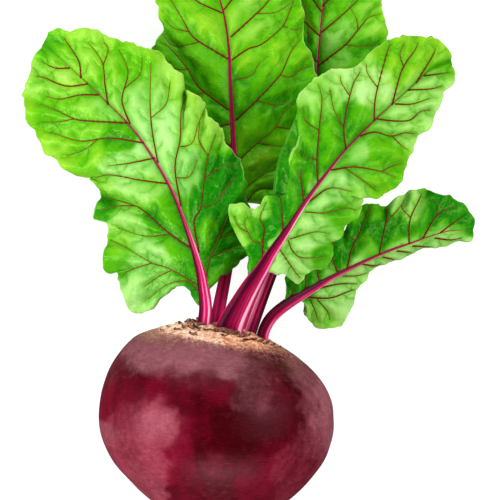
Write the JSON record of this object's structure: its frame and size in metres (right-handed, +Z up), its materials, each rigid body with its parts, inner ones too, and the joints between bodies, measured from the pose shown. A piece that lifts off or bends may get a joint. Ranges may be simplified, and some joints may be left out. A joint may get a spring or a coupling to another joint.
{
  "type": "beetroot",
  "caption": "Beetroot as picked, lying on its side: round crimson root with a corky crown and a tapering taproot, and waved green leaves on crimson stalks.",
  "frame": {"origin": "middle of the small flat spot under the root that it rests on", "axes": "+Y from the taproot to the leaf tips, +Z up from the table, +X across the leaves"},
  "size_m": [0.1764, 0.3251, 0.0888],
  "materials": {
    "beet_skin": "satin skin",
    "crimson_stalk": "satin, juicy",
    "leaf_green": "waxy leaf"
  },
  "bodies": {
    "root": {"beet_root": "beet_skin", "left_leaf_stalk": "crimson_stalk", "centre_leaf_stalk": "crimson_stalk", "back_leaf_stalk": "crimson_stalk", "right_leaf_stalk": "crimson_stalk", "low_leaf_stalk": "crimson_stalk", "left_leaf_blade": "leaf_green", "centre_leaf_blade": "leaf_green", "back_leaf_blade": "leaf_green", "right_leaf_blade": "leaf_green", "low_leaf_blade": "leaf_green"}
  },
  "joints": []
}
